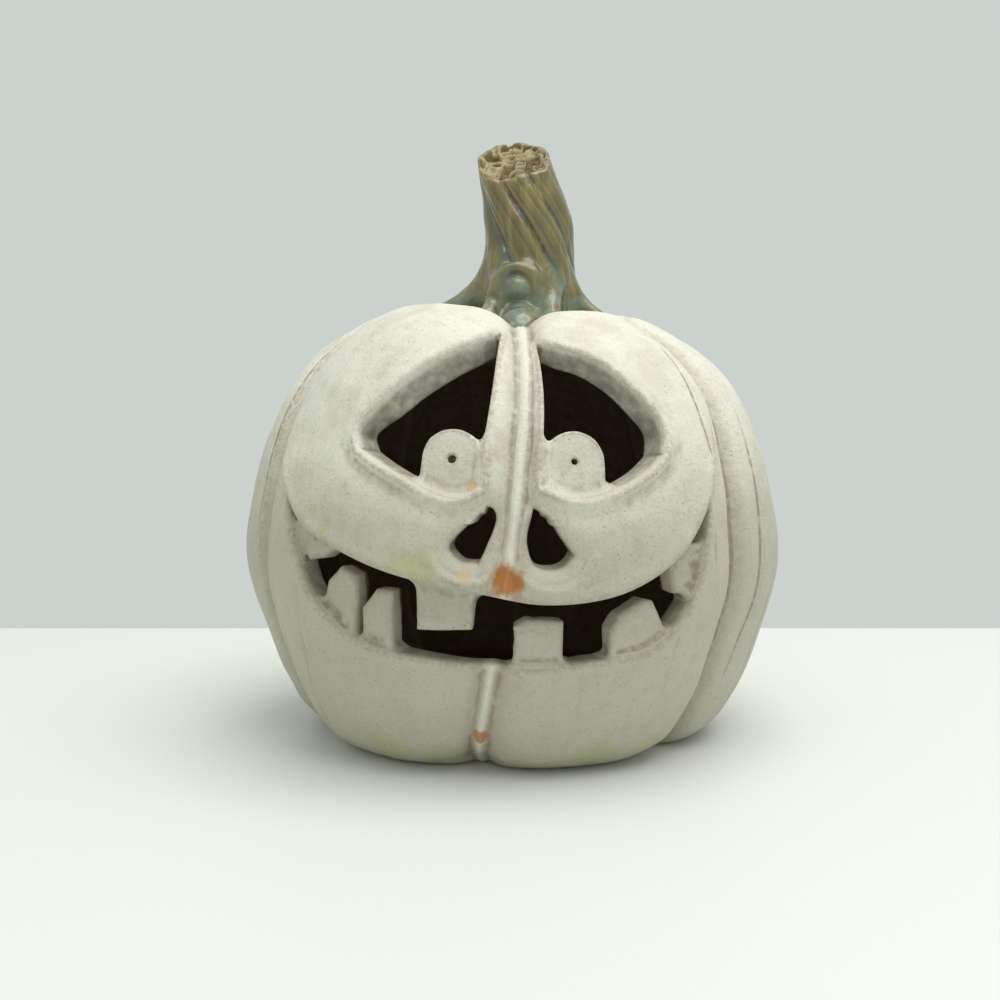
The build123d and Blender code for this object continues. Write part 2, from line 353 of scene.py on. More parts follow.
class WallMap:
    """Values on the unrolled wall around one outline, worked out once and read by interpolation."""

    STEP = 0.4
    MARGIN = 26.0

    def __init__(self, line, apex, make):
        self.apex = apex
        self.low = line.min(axis=0) - self.MARGIN
        self.shape = np.ceil((line.max(axis=0) + self.MARGIN - self.low) / self.STEP).astype(int) + 1
        axes = [self.low[k] + np.arange(self.shape[k]) * self.STEP for k in (0, 1)]
        u, v = np.meshgrid(*axes, indexing="ij")
        self.table = make(np.stack([u.ravel(), v.ravel()], axis=1)).reshape(self.shape).astype(np.float32)

    def read(self, azimuth, height, radius):
        places = wrap(turn_from_front(azimuth), height, np.maximum(radius, 1), self.apex)
        u, v = [np.clip((places[k] - self.low[k]) / self.STEP, 0, self.shape[k] - 1.001) for k in (0, 1)]
        return read_between(self.table, u, v)


def outline_map(curves, apex):
    """Signed distance on the unrolled wall, negative inside the opening."""
    outline = fine_outline(curves, apex)

    def make(places):
        gap = distance_to_line(places, outline, True)[0]
        return np.where(inside_outline(places, outline), -gap, gap)

    return WallMap(outline, apex, make)


EYES = [outline_map(LEFT_EYE, EYE_APEX), outline_map(RIGHT_EYE, EYE_APEX)]
NOSTRILS = [outline_map(LEFT_NOSTRIL, NOSE_APEX), outline_map(RIGHT_NOSTRIL, NOSE_APEX)]
MOUTH = outline_map([UPPER_LIP, LOWER_LIP], MOUTH_APEX)
PLATE_CURVE = fine_curve(wrapped_curve(PLATE_LINE, MOUTH_APEX))


def plate_share(places):
    """1 on the upper face plate and -1 on the jaw, fading past the mouth's ends."""
    gap, side, along = distance_to_line(places, PLATE_CURVE, False)
    ends = smooth_share(along, 0.0, 0.16) * smooth_share(1 - along, 0.0, 0.16)
    return np.tanh(side * gap / 1.3) * np.exp(-gap / 24) * ends


PLATE = WallMap(PLATE_CURVE, MOUTH_APEX, plate_share)

# Outer surface with its details --------
PLATE_RISE = 2.4
LID_RIM = 0.9
CHEEK_RISE = 1.4
NOSTRIL_SCOOP = 1.3
LIP_ROLL = 0.5
JAW_DROP = 1.6


def fold_depth(azimuth, elevation, wall):
    """Thin creases that run down the lobes beside the grooves and die out on the way."""
    grooves = groove_azimuths(elevation)
    radius = np.hypot(wall[:, 0], wall[:, 1])
    depth = np.zeros_like(azimuth)
    for lobe, start in enumerate(grooves):
        width = (grooves[(lobe + 1) % len(grooves)] - start) % 360
        past = (azimuth - start) % 360
        for n, (share, deep) in enumerate(FOLDS):
            drift = 0.05 * np.sin(np.radians(elevation * 2.2 + 70 * n + 40 * lobe))
            gap = np.radians(past - (share + drift) * width) * radius
            reach = bump(elevation - (28 - 26 * ((lobe + n) % 3)), 30)
            depth += np.where(past < width, deep * reach * (bump(gap, 1.1) - 0.45 * bump(gap - 2.0, 1.3)), 0)
    return depth


def face_relief(azimuth, height, radius):
    """Rims, bulges and hollows of the carved face, in millimetres outward."""
    across = np.radians(turn_from_front(azimuth)) * WRAP_RADIUS
    relief = np.zeros_like(azimuth)
    for eye, side in zip(EYES, (-1, 1)):
        outside = eye.read(azimuth, height, radius)
        under = 1 - smooth_share(height, 95, 103)
        relief += LID_RIM * bump(outside - 1.4, 1.5) * under
        relief -= 0.7 * bump(outside - 5.5, 2.6) * under
        relief += CHEEK_RISE * bump(across - side * 37, 19) * bump(height - 75, 11)
    for nostril in NOSTRILS:
        outside = nostril.read(azimuth, height, radius)
        relief -= NOSTRIL_SCOOP * bump(np.maximum(outside, 0), 3.4)
        relief += 0.7 * bump(outside - 5.0, 1.6) * (1 - smooth_share(height, 66, 71))
    lip = MOUTH.read(azimuth, height, radius)
    relief += LIP_ROLL * bump(lip - 2.2, 2.0)
    relief += 1.6 * bump(across + 13, 3.0) * bump(height - 10, 7)
    return relief


def detailed_distance(azimuth, elevation):
    drop, nearest, number, fade = lobe_parts(azimuth, elevation)
    depth, half_width, vein, vein_width = [np.array(column)[number] for column in zip(*CREASES)]
    distance = crest_distance(elevation) - drop
    wall = points_at(azimuth, elevation, distance)
    crease_gap = np.abs(nearest + lattice_noise(wall, 14, 3) * 0.5 * VEIN_WANDER)
    distance = distance - depth * bump(crease_gap, half_width) * fade
    distance = distance + vein * bump(crease_gap, vein_width) * fade
    along = wall * np.array([1, 1, 0.16])
    wrinkles = lattice_noise(along, 5.5, 11) * 0.28 + lattice_noise(along, 2.6, 12) * 0.1
    swells = lattice_noise(wall, 22, 13) * 0.55 + lattice_noise(wall, 9, 14) * 0.16
    turn = turn_from_front(azimuth)
    front = bump(turn, 62)
    distance = distance + (wrinkles * (1.5 - 1.0 * front) + swells) * fade
    height = wall[:, 2]
    radius = np.hypot(wall[:, 0], wall[:, 1])
    near = np.abs(turn) < 90
    plate = np.where(near, PLATE.read(azimuth, height, radius), 0)
    distance = distance + np.where(plate > 0, PLATE_RISE, JAW_DROP) * plate
    folds = fold_depth(azimuth, elevation, wall) * (1 - front)
    return distance - folds * fade + np.where(near, face_relief(azimuth, height, radius), 0)


def inner_distance(azimuth, elevation):
    drop, nearest, _, fade = lobe_parts(azimuth, elevation)
    groove = GROOVE_DEPTH * bump(nearest, GROOVE_WIDTH) * fade
    crest = crest_distance(elevation)
    wall = points_at(azimuth, elevation, crest)
    return crest - WALL - INNER_LOBE_SHARE * (drop + groove) + lattice_noise(wall, 12, 21) * 0.4


OUTER = SphereMap(detailed_distance)
INNER = SphereMap(inner_distance)

FOOT_ROUNDING = 3.0
EDGE_ROUNDING = 1.8


def outer_field(points):
    """Roughly the distance to the body's closed outer form, negative inside."""
    azimuth, elevation, radius = angles_of(points)
    distance = np.hypot(radius, points[:, 2] - CENTRE_HEIGHT)
    return smooth_max(distance - OUTER.read(azimuth, elevation), -points[:, 2], FOOT_ROUNDING)


def shell_field(points):
    """Roughly the distance to the carved shell's surface, negative in the clay."""
    azimuth, elevation, radius = angles_of(points)
    height = points[:, 2]
    distance = np.hypot(radius, height - CENTRE_HEIGHT)
    body = smooth_max(distance - OUTER.read(azimuth, elevation), -height, FOOT_ROUNDING)
    cavity = smooth_max(distance - INNER.read(azimuth, elevation), FOOT_THICKNESS - height, 4.0)
    shell = smooth_max(body, -cavity, EDGE_ROUNDING)
    opening = smooth_max(radius - BASE_OPENING_RADIUS, height - 30, 1.0)
    shell = smooth_max(shell, -opening, 2.5)
    face = (points[:, 1] < -15) & (np.abs(shell) < 12)
    where = np.nonzero(face)[0]
    part = shell[where]
    a, z, r = azimuth[where], height[where], radius[where]
    turn = turn_from_front(a)
    deep = np.clip(OUTER.read(a, elevation[where]) - distance[where], 0, WALL)
    brow = smooth_share(z, 95, 108) * deep
    lid = 1.5 + 3.2 * (1 - smooth_share(z, 90, 97)) * (1 - smooth_share(np.abs(turn), 17, 23))
    for outline, rounding, lowering in (
        (EYES[0], lid, 0.62 * brow), (EYES[1], lid, (0.2 + 0.35 * bump(turn - 9, 6)) * brow),
        (NOSTRILS[0], 2.2, 0), (NOSTRILS[1], 2.2, 0), (MOUTH, 1.3, 0),
    ):
        cut = outline.read(a, z + lowering, r) * r / WRAP_RADIUS
        part = smooth_max(part, -cut, rounding)
    shell[where] = part
    return shell


# Meshes from fields --------


def corner_view(grid, corner, size=(1, 1, 1)):
    """The grid seen from one corner of every block of cells of a size."""
    return grid[tuple(slice(corner[k], corner[k] + grid.shape[k] - size[k]) for k in range(3))]


UNTANGLE_ROUNDS = 12


def untangle(inside):
    """Fills samples where two sheets of the surface would share an edge or a corner."""
    flats = [(0, 1, 1), (1, 0, 1), (1, 1, 0)]
    for _ in range(UNTANGLE_ROUNDS):
        changed = 0
        for flat in flats:
            u, v = [k for k in range(3) if flat[k]]
            corners = [[0, 0, 0] for n in range(4)]
            for n, (du, dv) in enumerate(((0, 0), (1, 1), (1, 0), (0, 1))):
                corners[n][u] = du
                corners[n][v] = dv
            a, b, c, d = [corner_view(inside, corner, flat) for corner in corners]
            crossed = (a == b) & (c == d) & (a != c)
            changed += crossed.sum()
            for part in (a, b, c, d):
                part |= crossed
        for corner in ((0, 0, 0), (1, 0, 0), (0, 1, 0), (0, 0, 1)):
            flips = np.ndindex(2, 2, 2)
            views = [corner_view(inside, [n ^ m for n, m in zip(corner, flip)]) for flip in flips]
            total = sum(view.astype(np.int8) for view in views)
            crossed = ((total == 2) & views[0] & views[7]) | ((total == 6) & ~views[0] & ~views[7])
            changed += crossed.sum()
            for view in views:
                view |= crossed
        if not changed:
            return


def surface_from_field(field, low, high, step):
    """Closed quad mesh around where a field is negative, by surface nets, then settled on the surface."""
    counts = [int(math.ceil((high[k] - low[k]) / step)) + 1 for k in range(3)]
    axes = [low[k] + np.arange(counts[k]) * step for k in range(3)]
    values = np.empty(counts, np.float32)
    for i, x in enumerate(axes[0]):
        y, z = np.meshgrid(axes[1], axes[2], indexing="ij")
        slab = np.stack([np.full(y.size, x), y.ravel(), z.ravel()], axis=1)
        values[i] = field(slab).reshape(y.shape)
    for edge in (0, -1):
        values[edge] = values[:, edge] = values[:, :, edge] = 1.0
    inside = values < 0
    untangle(inside)
    values = np.where(inside, np.minimum(values, -0.05 * step), values)
    corners = [(a, b, c) for a in (0, 1) for b in (0, 1) for c in (0, 1)]
    cells = [n - 1 for n in counts]
    total = sum(corner_view(inside, c).astype(np.int8) for c in corners)
    active = np.argwhere((total > 0) & (total < 8))
    number = np.full(cells, -1, np.int32)
    number[tuple(active.T)] = np.arange(len(active))
    place = np.zeros((len(active), 3))
    weight = np.zeros(len(active))
    for a in corners:
        for k in range(3):
            if a[k]:
                continue
            b = tuple(a[m] + (m == k) for m in range(3))
            va = values[tuple((active + a).T)].astype(float)
            vb = values[tuple((active + b).T)].astype(float)
            crossed = (va < 0) != (vb < 0)
            t = np.where(crossed, va / np.where(crossed, va - vb, 1), 0)
            spot = active + np.array(a, float)
            spot[:, k] += t
            place += spot * crossed[:, None]
            weight += crossed
    place = np.array(low) + place / weight[:, None] * step
    quads = []
    for k in range(3):
        change = -np.diff(inside.astype(np.int8), axis=k)
        edges = np.argwhere(change != 0)
        sign = change[tuple(edges.T)]
        u, v = (k + 1) % 3, (k + 2) % 3
        ring = []
        for du, dv in ((0, 0), (1, 0), (1, 1), (0, 1)):
            cell = edges.copy()
            cell[:, u] -= du
            cell[:, v] -= dv
            ring.append(number[tuple(cell.T)])
        ring = np.stack(ring, axis=1)
        quads.append(np.where(sign[:, None] > 0, ring, ring[:, ::-1]))
    place = settle(field, place, step)
    return place, np.vstack(quads)


def gradient(field, points, reach):
    rises = [field(points + offset) - field(points - offset) for offset in np.eye(3) * reach]
    return np.stack(rises, axis=1) / (2 * reach)


def settle(field, points, step):
    slope = gradient(field, points, 0.25 * step)
    move = -field(points)[:, None] * slope / np.maximum((slope**2).sum(axis=1), 0.2)[:, None]
    size = np.linalg.norm(move, axis=1)
    return points + move * np.minimum(1, 0.3 * step / np.maximum(size, 1e-9))[:, None]


def link(thing):
    bpy.context.scene.collection.objects.link(thing)


def mesh_object(name, points, faces, face_limit=None):
    mesh = bpy.data.meshes.new(name)
    mesh.from_pydata((points * MM).tolist(), [], faces.tolist())
    mesh.validate()
    piece = bpy.data.objects.new(name, mesh)
    link(piece)
    triangles = 2 * len(faces)
    if face_limit and triangles > face_limit:
        decimate = piece.modifiers.new("lighten", "DECIMATE")
        decimate.ratio = face_limit / triangles
        apply_modifiers(piece)
    clean(piece.data)
    piece.data.polygons.foreach_set("use_smooth", [True] * len(piece.data.polygons))
    return piece


def apply_modifiers(piece):
    depsgraph = bpy.context.evaluated_depsgraph_get()
    made = bpy.data.meshes.new_from_object(piece.evaluated_get(depsgraph))
    piece.modifiers.clear()
    piece.data = made


def small_parts(edit):
    """Vertices that aren't in the mesh's largest connected part."""
    seen = set()
    parts = []
    for start in edit.verts:
        if start in seen:
            continue
        seen.add(start)
        part = [start]
        for v in part:
            for edge in v.link_edges:
                other = edge.other_vert(v)
                if other not in seen:
                    seen.add(other)
                    part.append(other)
        parts.append(part)
    parts.sort(key=len)
    return [v for part in parts[:-1] for v in part]


def clean(mesh):
    edit = bmesh.new()
    edit.from_mesh(mesh)
    bmesh.ops.remove_doubles(edit, verts=edit.verts, dist=2e-6)
    bmesh.ops.delete(edit, geom=small_parts(edit), context="VERTS")
    bmesh.ops.recalc_face_normals(edit, faces=edit.faces)
    edit.to_mesh(mesh)
    edit.free()


def vertex_points(piece):
    flat = np.zeros(len(piece.data.vertices) * 3, np.float32)
    piece.data.vertices.foreach_get("co", flat)
    return flat.reshape(-1, 3).astype(float) / MM


def store(piece, name, values):
    attribute = piece.data.attributes.new(name, "FLOAT", "POINT")
    attribute.data.foreach_set("value", np.asarray(values, np.float32))


def store_bends(piece, field, reach=1.2):
    """Stores how sharply the surface bends: above 0 on edges, below 0 in creases."""
    points = vertex_points(piece)
    total = -6 * field(points)
    for offset in np.eye(3) * reach:
        total += field(points + offset) + field(points - offset)
    store(piece, "bend", np.clip(total / reach, -2, 2))


def inside_share(points):
    """1 on the cavity's wall, where the glaze doesn't reach, and 0 from the rim of an opening outwards."""
    azimuth, elevation, radius = angles_of(points)
    distance = np.hypot(radius, points[:, 2] - CENTRE_HEIGHT)
    return smooth_share(INNER.read(azimuth, elevation) - distance, -0.6, 0.3)


# Shell --------
SHELL_STEP = 0.65
FACE_LIMIT = 190000


def make_shell():
    low = [CAD_BOX[0][k] / MM - 4 for k in range(3)]
    high = [CAD_BOX[1][k] / MM + 4 for k in range(3)]
    high[2] = PROFILE[:, 1].max() + 9
    points, faces = surface_from_field(shell_field, low, high, SHELL_STEP)
    shell = mesh_object("pumpkin_body", points, faces, FACE_LIMIT)
    points = vertex_points(shell)
    azimuth, elevation, _ = angles_of(points)
    store(shell, "depth", -outer_field(points))
    _, nearest, number, fade = lobe_parts(azimuth, elevation)
    creases = np.array(CREASES)[number]
    vein = bump(nearest, 1.3 * creases[:, 3])
    store(shell, "groove", bump(nearest, creases[:, 1]) * fade * (1 - vein))
    store(shell, "vein", vein * fade)
    store(shell, "inside", inside_share(points))
    store_bends(shell, shell_field)
    return shell


# Clay pieces set into the openings --------
DISC_RADIUS = 8.7
DISC_THICKNESS = 7.0
DISC_SET_BACK = 3.0
DISC_LEAN = 17.0
DISC_RIM = 0.3
CORNER_SET_BACK = 1.2
LEFT_DISC = (-13.3, 94.3)
RIGHT_DISC = (12.7, 93.6)
LEFT_PINHOLE = (1.25, 4.0)
RIGHT_PINHOLE = (0.95, 30.0)
TOOTH_THICKNESS = 7.0
TOOTH_DRAFT = 0.08
FILLET = 3.0
SEAT = 1.2
LEAST_SET_BACK = 0.9
FILLET_SET_BACK = 0.3
PIECE_STEP = 0.45

# Set back from the wall's face, lean and outline of azimuth and height
TEETH = {
    "upper_front_tooth": (3.5, 0, [(-20, 46), (-8.3, 46.5), (-7.5, 62), (-20, 65)]),
    "lower_middle_tooth": (2.4, -8, [(-0.3, 33), (10.3, 33), (9.8, 49), (2.5, 49.8), (-0.3, 47.5)]),
    "lower_right_tooth": (
        3.6, -6, [(19.5, 34), (34, 38), (33, 44), (29, 53.5), (26.5, 54.5), (21.5, 50.5), (19.5, 46)],
    ),
    "right_corner_tooth": (4.2, 0, [(34, 55), (44, 53), (46, 66), (38, 70), (33, 63)]),
    "lower_left_outer_tooth": (
        4.6, -3, [(-44, 46), (-34.7, 42), (-33.2, 55), (-33.7, 60.5), (-37.5, 62.5), (-41.5, 58)],
    ),
    "lower_left_inner_tooth": (4.2, -4, [(-33.2, 39), (-25.5, 38), (-25, 57), (-29, 57), (-32.6, 51)]),
    "upper_left_corner_tooth": (
        3.8, 4, [(-52, 82), (-39, 74), (-39, 67.5), (-43, 64), (-47, 63), (-51, 71)],
    ),
}


def wall_frame(azimuth, height, set_back, lean):
    """Origin and the three directions across, up and out of a plane behind the wall's face."""
    turn = math.radians(azimuth)
    tip = math.radians(lean)
    radius = wall_radius(np.array([azimuth]), height)[0] - set_back
    outward = np.array([math.sin(turn), -math.cos(turn), 0])
    across = np.array([math.cos(turn), math.sin(turn), 0])
    up = np.array([0, 0, 1.0])
    origin = outward * radius + up * height
    tipped_up = up * math.cos(tip) - outward * math.sin(tip)
    tipped_out = outward * math.cos(tip) + up * math.sin(tip)
    return origin, np.array([across, tipped_up, tipped_out])


def slab(depth, thickness):
    return np.abs(depth + thickness / 2) - thickness / 2


def luted(block):
    """Field of a clay block with a fillet onto the shell, ending just inside the shell's surface."""

    def field(points):
        skin = outer_field(points)
        own = smooth_max(block(points), skin + LEAST_SET_BACK, 1.0)
        wall = shell_field(points)
        joined = np.maximum(smooth_min(own, wall, FILLET), skin + FILLET_SET_BACK)
        return np.maximum(np.maximum(joined, -wall - SEAT), own - 0.85 * FILLET)

    return field


def set_piece(name, block, origin, reach):
    field = luted(block)
    points, faces = surface_from_field(field, origin - reach, origin + reach, PIECE_STEP)
    piece = mesh_object(name + "_clay", points, faces)
    points = vertex_points(piece)
    store(piece, "depth", -outer_field(points))
    for flat in ("groove", "vein"):
        store(piece, flat, np.zeros(len(points)))
    store(piece, "inside", inside_share(points))
    store_bends(piece, field)
    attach(piece, BODY)
    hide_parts(name)
    return piece


def disc_block(place, pinhole, bridge_side):
    origin, axes = wall_frame(*place, DISC_SET_BACK, DISC_LEAN)
    pin_radius, pin_depth = pinhole

    def block(points):
        across, up, out = ((points - origin) @ axes.T).T
        # Below its middle the disc's sides run straight down, so that it ends as an arch
        gap = np.hypot(across, np.maximum(up, 0.35 * up)) - DISC_RADIUS
        gap = gap + 0.12 * lattice_noise(points, 2.2, 33)
        face = out - DISC_RIM * bump(gap + 0.5, 0.5) + 0.3 * smooth_share(-gap, 0, DISC_RADIUS)
        disc = smooth_max(gap, np.maximum(face, -DISC_THICKNESS - out), 0.9)
        low = np.abs(up + 1.15 * DISC_RADIUS) - 0.45 * DISC_RADIUS
        ledge = np.maximum(np.abs(across) - DISC_RADIUS - 0.5, low)
        beside = np.abs(across - bridge_side * DISC_RADIUS) - 0.5 * DISC_RADIUS
        web = np.maximum(beside, np.abs(up + 1.5) - 0.8 * DISC_RADIUS)
        plate = slab(out + CORNER_SET_BACK, DISC_THICKNESS - 1.5)
        corner = smooth_max(smooth_min(ledge, web, 2.0), plate, 1.2)
        clay = smooth_min(disc, corner, 1.2) + 0.15 * lattice_noise(points, 4.5, 31)
        pin = np.maximum(np.hypot(across, up) - pin_radius, -out - pin_depth)
        return smooth_max(clay, -pin, 0.4)

    return block, origin


def tooth_block(set_back, lean, outline, seed):
    azimuths, heights = np.array(outline, float).T
    azimuth = azimuths.sum() / len(outline)
    middle = heights.sum() / len(outline)
    origin, axes = wall_frame(azimuth, middle, set_back, lean)
    radii = wall_radius(azimuths, heights) - set_back
    corners = np.stack([radii * np.sin(np.radians(azimuths - azimuth)), heights - middle], axis=1)

    def block(points):
        across, up, out = ((points - origin) @ axes.T).T
        places = np.stack([across, up], axis=1)
        gap = distance_to_line(places, corners, True)[0]
        gap = np.where(inside_outline(places, corners), -gap, gap) - TOOTH_DRAFT * out
        crown = 0.5 * smooth_share(-gap, 0, 5) - 0.5
        body = smooth_max(gap, slab(out - crown, TOOTH_THICKNESS), 1.8)
        return body + 0.25 * lattice_noise(points, 5, seed) + 0.08 * lattice_noise(points, 1.8, seed + 1)

    return block, origin


def make_set_pieces():
    pieces = []
    for name, place, pinhole, side in (
        ("left_eye_disc", LEFT_DISC, LEFT_PINHOLE, 1),
        ("right_eye_disc", RIGHT_DISC, RIGHT_PINHOLE, -1),
    ):
        block, origin = disc_block(place, pinhole, side)
        pieces.append(set_piece(name, block, origin, 18))
    for seed, (name, (set_back, lean, outline)) in enumerate(TEETH.items()):
        block, origin = tooth_block(set_back, lean, outline, 40 + 2 * seed)
        pieces.append(set_piece(name, block, origin, 19))
    return pieces


# Stem --------
# Height of each section's centre, its offsets in x and y, mean radius and rib depth
STEM_SECTIONS = np.array([
    (122, 3.5, 2, 19, 3.0), (131, 4.0, 2, 17, 2.8), (138, 4.6, 1.5, 15.2, 2.6), (145, 5.2, 1.2, 14.2, 2.5),
    (152, 5.6, 1, 13.9, 2.4), (159, 5.8, 1, 13.9, 2.3), (166, 5.4, 1, 13.9, 2.2), (173, 3.9, 1, 13.1, 2.0),
    (179, 2.0, 1.2, 12.6, 1.8), (186, 0.3, 1.5, 12.3, 1.5), (198, -1.4, 2, 10.0, 1.2),
], float)
STEM_RIBS = 6
# Height and how far the ribs have turned there
STEM_TURNS = np.array([
    (122, 96), (133, 92), (143, 84), (152, 70), (163, 44), (174, 20), (185, 4), (198, -8),
], float)
STEM_RIB_START = -14.0
STEM_END = (0.3, 1.0, 185.4)
STEM_END_TILT = 33.0
STEM_END_LEAN = -7.0
# Each root's start inside the stem, its radius there, its end on the crown and its radius there
ROOTS = [
    ((-3.0, 0.0, 153.0), 5.2, (-27.0, -3.0, 135.0), 2.6),
    ((-2.0, -6.0, 152.0), 4.6, (-10.0, -24.0, 132.0), 2.8),
    ((3.0, -6.0, 139.5), 7.5, (2.5, -25.0, 131.5), 6.4),
    ((12.0, -7.0, 150.0), 4.8, (12.5, -25.0, 131.0), 3.2),
    ((14.0, 0.0, 152.0), 4.8, (33.0, -4.0, 131.5), 2.4),
    ((10.0, 9.0, 150.0), 5.0, (22.0, 24.0, 132.0), 2.8),
    ((-3.0, 9.0, 150.0), 5.0, (-14.0, 25.0, 132.0), 2.8),
]
POOL = (1.4, -14.8, 144.0)
POOL_RADIUS = 4.4
ARCH_RADIUS = 6.4
ARCH_THICKNESS = 1.9
STEM_STEP = 0.42


def stem_places(points):
    height = np.clip(points[:, 2], STEM_SECTIONS[0, 0], STEM_SECTIONS[-1, 0])
    x, y, radius, rib = curve_through(STEM_SECTIONS[:, 0], STEM_SECTIONS[:, 1:], height).T
    turn = curve_through(STEM_TURNS[:, 0], STEM_TURNS[:, 1], height)
    across = points[:, 0] - x
    toward = y - points[:, 1]
    azimuth = np.arctan2(across, toward)
    phase = azimuth - np.radians(turn + STEM_RIB_START)
    return np.hypot(across, toward), phase, radius, rib


def stem_end_height(points):
    x, y, z = (points - np.array(STEM_END)).T
    return z - y * math.tan(math.radians(STEM_END_TILT)) + x * math.tan(math.radians(STEM_END_LEAN))


def stem_ribs(phase):
    """Rounded ropes of uneven width with narrow grooves between them, 1 on a rope and 0 in a groove."""
    wavy = phase + 0.16 * np.sin(2 * phase + 0.7)
    main = np.abs(np.cos(STEM_RIBS * wavy / 2)) ** 0.6
    small = np.abs(np.cos(STEM_RIBS * 1.5 * wavy + 0.9)) ** 0.7
    return main, small


def root_field(points):
    """Distance to the roots, which taper as they run down onto the crown."""
    nearest = np.full(len(points), 1e3)
    for start, thick, end, thin in ROOTS:
        start = np.array(start)
        run = np.array(end) - start
        share = np.clip((points - start) @ run / (run @ run), 0, 1.15)
        sag = 3.2 * np.sin(math.pi * np.clip(share, 0, 1))
        axis = start + share[:, None] * run
        axis[:, 2] -= sag
        gap = np.linalg.norm(points - axis, axis=1) - (thick + (thin - thick) * share)
        nearest = smooth_min(nearest, gap, 3.5)
    return nearest


def end_fibres(points):
    """Torn fibres on the cut end: 0 on the thin walls between them, 1 in the pits."""
    along = points * np.array([1, 1, 0.3])
    coarse = np.abs(lattice_noise(along, 2.6, 53))
    fine = np.abs(lattice_noise(along, 1.3, 54))
    return smooth_share(coarse, 0.03, 0.45) * 0.75 + smooth_share(fine, 0.05, 0.5) * 0.25


def stem_field(points):
    gap, phase, radius, rib = stem_places(points)
    main, small = stem_ribs(phase)
    side = gap - radius + rib * (0.95 - 1.15 * main) - 0.4 * small
    side = side + 0.4 * lattice_noise(points, 8, 52)
    side = smooth_min(side, root_field(points), 4.5)
    x, y, z = (points - np.array(POOL)).T
    arch = np.hypot(np.hypot(x, np.maximum(z, 0)) - ARCH_RADIUS, y) - ARCH_THICKNESS
    side = smooth_min(side, arch + 3 * smooth_share(-z, 1, 9), 4.0)
    bead = np.sqrt(x * x + (y - 1.6) ** 2 + z * z) - POOL_RADIUS
    side = smooth_min(side, bead, 1.6)
    side = side - 0.10 * lattice_noise(points * np.array([1, 1, 0.2]), 1.6, 51)
    end = stem_end_height(points) - 1.6 * smooth_share(np.cos(phase - 0.9), 0.3, 0.7)
    rim = smooth_share(radius - gap, 0.8, 2.6)
    end = end + rim * (0.4 + 3.0 * end_fibres(points)) + 0.7 * lattice_noise(points, 2.4, 55)
    stub = smooth_max(side * 0.9, end * 0.8, 0.5)
    crown = outer_field(points)
    rooted = smooth_min(stub, crown, 3.5)
    return np.maximum(np.maximum(rooted, -crown - 1.2), stub - 2.6)


def make_stem():
    low = np.array([-40.0, -36.0, 118.0])
    high = np.array([46.0, 38.0, CAD_BOX[1][2] / MM + 6])
    points, faces = surface_from_field(stem_field, low, high, STEM_STEP)
    stem = mesh_object("stem_clay", points, faces, FACE_LIMIT)
    points = vertex_points(stem)
    gap, phase, radius, _ = stem_places(points)
    store(stem, "rib", stem_ribs(phase)[0])
    near_end = smooth_share(stem_end_height(points), -9.0, -5.0)
    store(stem, "end", near_end * smooth_share(radius - gap, 0.2, 1.6))
    store(stem, "pit", end_fibres(points))
    store(stem, "root", smooth_share(152 - points[:, 2], 0, 14))
    store_bends(stem, stem_field, 0.8)
    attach(stem, BODY)
    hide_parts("stem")
    return stem


# Materials --------


